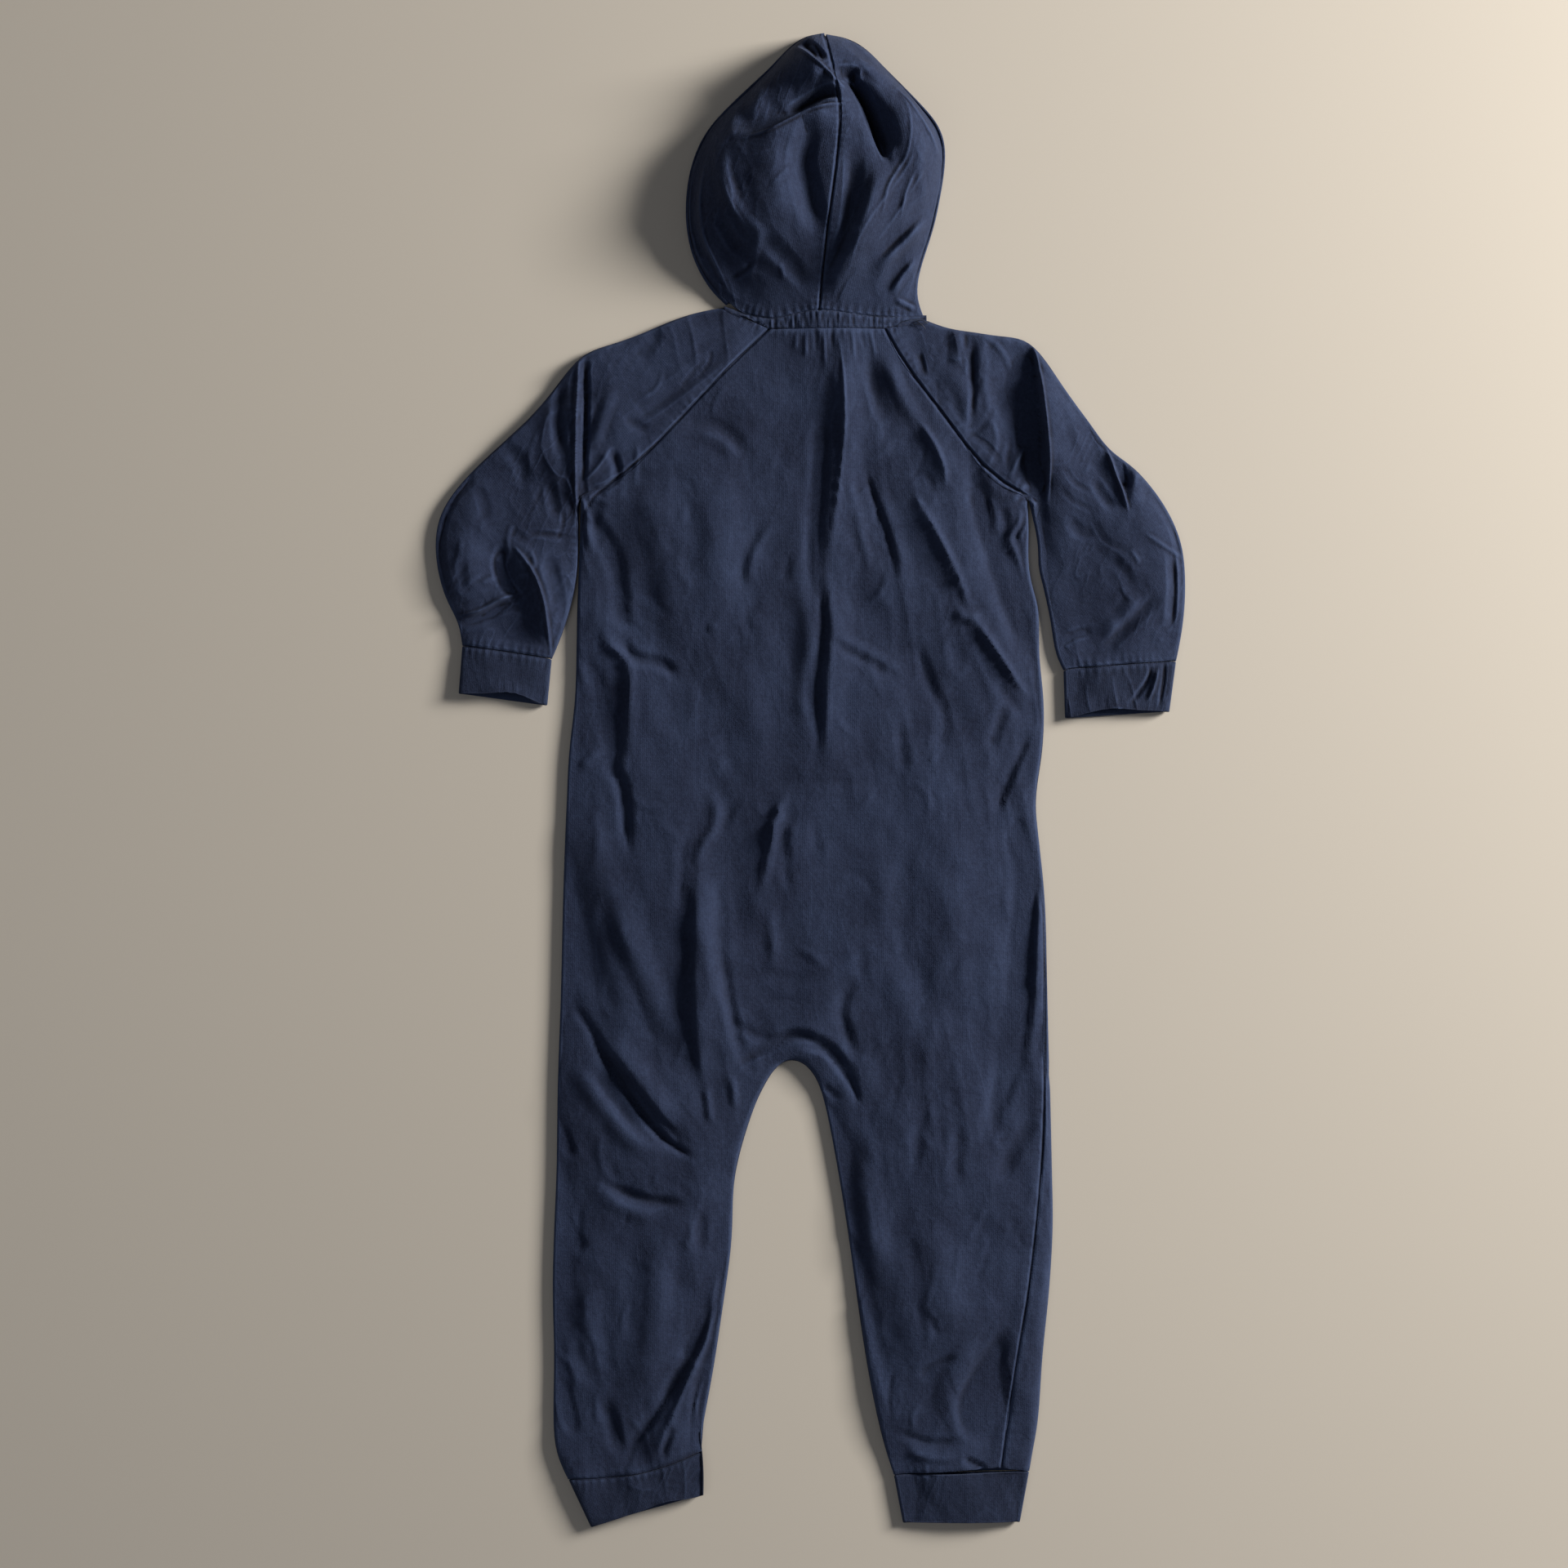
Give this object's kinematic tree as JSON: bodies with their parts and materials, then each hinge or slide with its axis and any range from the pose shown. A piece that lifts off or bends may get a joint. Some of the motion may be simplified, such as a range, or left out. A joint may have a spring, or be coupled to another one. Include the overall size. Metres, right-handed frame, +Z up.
{
  "type": "hooded one-piece suit",
  "caption": "Child's hooded one-piece suit in brushed sweat cloth, laid flat on its zipped front with the back up.",
  "frame": {"origin": "middle of the bounding box, on the surface that the garment lies on", "axes": "+X to the wearer's right, +Y from the legs to the hood, +Z up out of the back"},
  "size_m": [0.505, 1.0046, 0.0447],
  "materials": {
    "sweat_cloth": "dark navy brushed sweat knit, soft nap, slightly faded on the ridges",
    "cuff_cloth": "dark navy knit, doubled at the cuffs",
    "neck_tape": "gathered navy tape over the neck seam",
    "zip_tape": "woven navy zip tape",
    "zip_chain": "navy plastic coil",
    "zip_metal": "plain worn nickel"
  },
  "bodies": {
    "garment": {"back": "sweat_cloth", "front_left": "sweat_cloth", "front_right": "sweat_cloth", "sleeve_left": "sweat_cloth", "sleeve_right": "sweat_cloth", "hood_left": "sweat_cloth", "hood_right": "sweat_cloth", "sleeve_cuff_left": "cuff_cloth", "sleeve_cuff_right": "cuff_cloth", "leg_cuff_left": "cuff_cloth", "leg_cuff_right": "cuff_cloth", "neck_tape": "neck_tape", "zip_tape_left": "zip_tape", "zip_tape_right": "zip_tape", "zip_chain": "zip_chain", "zip_slider": "zip_metal"},
    "pull_tab": {"pull_tab": "zip_metal"}
  },
  "joints": [
    {"name": "pull_tab_hinge", "type": "hinge", "parent": "garment", "child": "pull_tab", "pos_m": [0.01219, 0.29515, 0.0023], "axis": [1, 0, 0], "range_deg": [0, 170]}
  ]
}
